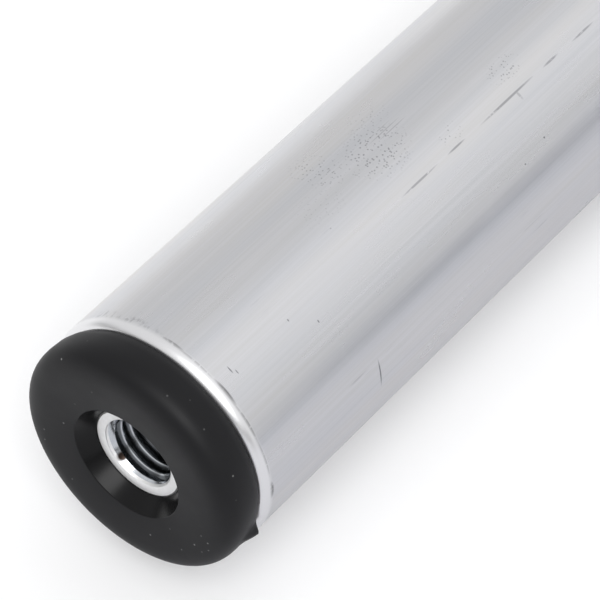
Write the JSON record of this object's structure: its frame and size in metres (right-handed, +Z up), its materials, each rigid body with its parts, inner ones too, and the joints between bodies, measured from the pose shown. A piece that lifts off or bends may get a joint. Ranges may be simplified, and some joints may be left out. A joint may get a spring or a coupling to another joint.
{
  "type": "ladder stabilizer",
  "caption": "Telescoping stand-off that clamps across a ladder's side rails; its bent tube arms reach the wall and end in plugs with threaded inserts.",
  "frame": {"origin": "middle of the underside of the closed stabilizer", "axes": "+X across the ladder, +Y from the ladder towards the wall, +Z up"},
  "size_m": [1.1381, 0.4476, 0.0892],
  "materials": {
    "drawn_aluminium": "mill finish, drawn, lightly scuffed",
    "cast_aluminium": "machined and welded",
    "black_nylon": "moulded, fine satin texture",
    "zinc_plated_steel": "bright zinc plating",
    "black_rubber": "moulded, matt",
    "black_vinyl": "soft semi-gloss sleeve"
  },
  "bodies": {
    "frame": {"centre_tube": "drawn_aluminium", "guide_bush_left": "black_nylon", "guide_bush_right": "black_nylon", "lock_boss_left": "cast_aluminium", "lock_boss_right": "cast_aluminium", "u_bolt_left": "zinc_plated_steel", "u_bolt_right": "zinc_plated_steel", "crossbar_sleeve_left": "black_vinyl", "crossbar_sleeve_right": "black_vinyl", "rail_saddle_left": "black_nylon", "rail_saddle_right": "black_nylon", "rail_pad_left": "black_rubber", "rail_pad_right": "black_rubber", "backing_saddle_left": "black_nylon", "backing_saddle_right": "black_nylon", "flat_washers_left": "zinc_plated_steel", "flat_washers_right": "zinc_plated_steel", "spring_washers_left": "zinc_plated_steel", "spring_washers_right": "zinc_plated_steel"},
    "arm_left": {"arm_tube_left": "drawn_aluminium", "end_plug_left": "black_nylon", "thread_insert_left": "zinc_plated_steel", "guide_plug_left": "black_nylon"},
    "knob_left": {"lock_knob_left": "black_nylon", "lock_screw_left": "zinc_plated_steel"},
    "wing_nut_inner_left": {"wing_nut_inner_left": "zinc_plated_steel"},
    "wing_nut_outer_left": {"wing_nut_outer_left": "zinc_plated_steel"},
    "arm_right": {"arm_tube_right": "drawn_aluminium", "end_plug_right": "black_nylon", "thread_insert_right": "zinc_plated_steel", "guide_plug_right": "black_nylon"},
    "knob_right": {"lock_knob_right": "black_nylon", "lock_screw_right": "zinc_plated_steel"},
    "wing_nut_inner_right": {"wing_nut_inner_right": "zinc_plated_steel"},
    "wing_nut_outer_right": {"wing_nut_outer_right": "zinc_plated_steel"}
  },
  "joints": [
    {"name": "arm_slide_left", "type": "slide", "parent": "frame", "child": "arm_left", "axis": [-1, 0, 0], "range_m": [0, 0.13]},
    {"name": "lock_knob_turn_left", "type": "hinge", "parent": "frame", "child": "knob_left", "pos_m": [-0.376, -0.0835, 0.0754], "axis": [0, 0, 1], "continuous": true},
    {"name": "wing_nut_turn_inner_left", "type": "hinge", "parent": "frame", "child": "wing_nut_inner_left", "pos_m": [-0.164, -0.0435, 0.0254], "axis": [0, 1, 0], "continuous": true},
    {"name": "wing_nut_turn_outer_left", "type": "hinge", "parent": "frame", "child": "wing_nut_outer_left", "pos_m": [-0.216, -0.0435, 0.0254], "axis": [0, 1, 0], "continuous": true},
    {"name": "arm_slide_right", "type": "slide", "parent": "frame", "child": "arm_right", "axis": [1, 0, 0], "range_m": [0, 0.13]},
    {"name": "lock_knob_turn_right", "type": "hinge", "parent": "frame", "child": "knob_right", "pos_m": [0.376, -0.0835, 0.0754], "axis": [0, 0, 1], "continuous": true},
    {"name": "wing_nut_turn_inner_right", "type": "hinge", "parent": "frame", "child": "wing_nut_inner_right", "pos_m": [0.164, -0.0435, 0.0254], "axis": [0, 1, 0], "continuous": true},
    {"name": "wing_nut_turn_outer_right", "type": "hinge", "parent": "frame", "child": "wing_nut_outer_right", "pos_m": [0.216, -0.0435, 0.0254], "axis": [0, 1, 0], "continuous": true}
  ]
}
